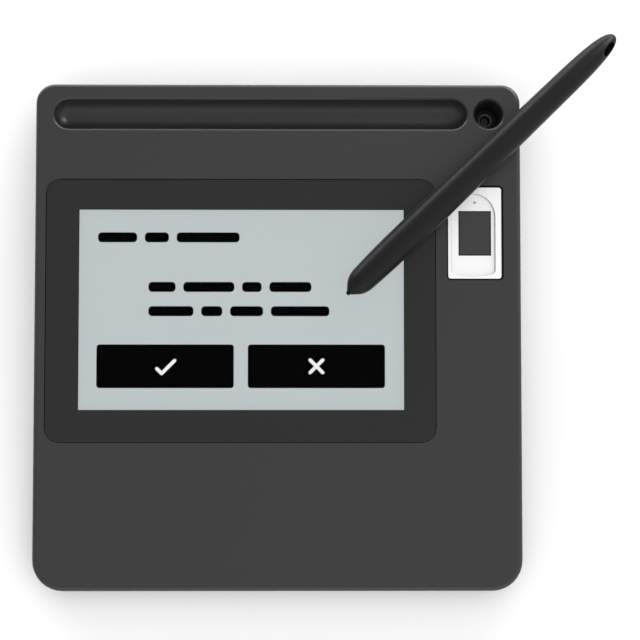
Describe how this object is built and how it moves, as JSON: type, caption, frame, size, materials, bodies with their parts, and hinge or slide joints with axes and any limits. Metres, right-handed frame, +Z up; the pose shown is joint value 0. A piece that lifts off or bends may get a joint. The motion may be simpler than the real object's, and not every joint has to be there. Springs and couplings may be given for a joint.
{
  "type": "signature pad",
  "caption": "Wedge-shaped desk signature pad with a flush pen display, a finger reader, a pen tray, a pen well and a loose battery-free pen.",
  "frame": {"origin": "centre of the base cover's flat underside", "axes": "+X to the right of the person who signs, +Y to the rear of the pad, +Z up"},
  "size_m": [0.1938, 0.1841, 0.0304],
  "materials": {
    "shell_plastic": "fine matt texture",
    "base_plastic": "fine matt texture",
    "pen_plastic": "fine matt texture",
    "nib_plastic": "smooth",
    "lens_glass": "polished, printed dark round the picture",
    "display_glass": "smooth",
    "gasket_foam": "foam",
    "frame_steel": "pressed sheet",
    "backlight_plastic": "smooth",
    "white_plastic": "gloss",
    "sensor_glass": "satin",
    "light_pipe": "clear",
    "foot_rubber": "matt",
    "zinc_steel": "zinc plated",
    "port_steel": "plated",
    "circuit_board": "solder mask",
    "chip_black": "moulded",
    "connector_plastic": "moulded",
    "ribbon_film": "film",
    "ferrite": "sintered",
    "copper_wire": "enamelled winding"
  },
  "bodies": {
    "pad": {"top_shell": "shell_plastic", "base_cover": "base_plastic", "case_screw_front_left": "zinc_steel", "case_screw_front_middle": "zinc_steel", "case_screw_front_right": "zinc_steel", "case_screw_rear_left": "zinc_steel", "case_screw_rear_right": "zinc_steel", "foot_front_left": "foot_rubber", "foot_front_right": "foot_rubber", "foot_rear_left": "foot_rubber", "foot_rear_right": "foot_rubber", "main_board": "circuit_board", "board_screw_front_left": "zinc_steel", "board_screw_front_right": "zinc_steel", "board_screw_rear_left": "zinc_steel", "board_screw_rear_right": "zinc_steel", "port_shell": "port_steel", "port_tongue": "chip_black", "display_connector": "connector_plastic", "sensor_connector": "connector_plastic", "reader_connector": "connector_plastic", "controller_chip": "chip_black", "memory_chip": "chip_black", "display_ribbon": "ribbon_film", "sensor_ribbon": "ribbon_film", "reader_ribbon": "ribbon_film", "cover_lens": "lens_glass", "lens_gasket": "gasket_foam", "display_frame": "frame_steel", "display_cell": "display_glass", "backlight": "backlight_plastic", "pen_sensor_board": "circuit_board", "display_bracket": "frame_steel", "bracket_screw_front_left": "zinc_steel", "bracket_screw_front_right": "zinc_steel", "bracket_screw_rear_left": "zinc_steel", "bracket_screw_rear_right": "zinc_steel", "reader_bezel": "white_plastic", "reader_window": "sensor_glass", "reader_light": "light_pipe", "reader_board": "circuit_board"},
    "pen": {"pen_barrel": "pen_plastic", "pen_tail_cap": "pen_plastic", "pen_core": "ferrite", "pen_coil": "copper_wire", "pen_pressure_sensor": "chip_black", "pen_board": "circuit_board"},
    "nib": {"pen_nib": "nib_plastic"}
  },
  "joints": [
    {"name": "pen_lift", "type": "slide", "parent": "pad", "child": "pen", "axis": [0, 0, 1], "range_m": [0, 0.06]},
    {"name": "nib_press", "type": "slide", "parent": "pen", "child": "nib", "axis": [0.7181, 0.6948, 0.0394], "range_m": [0, 0.0005], "stiffness_N_per_m": 1000}
  ]
}
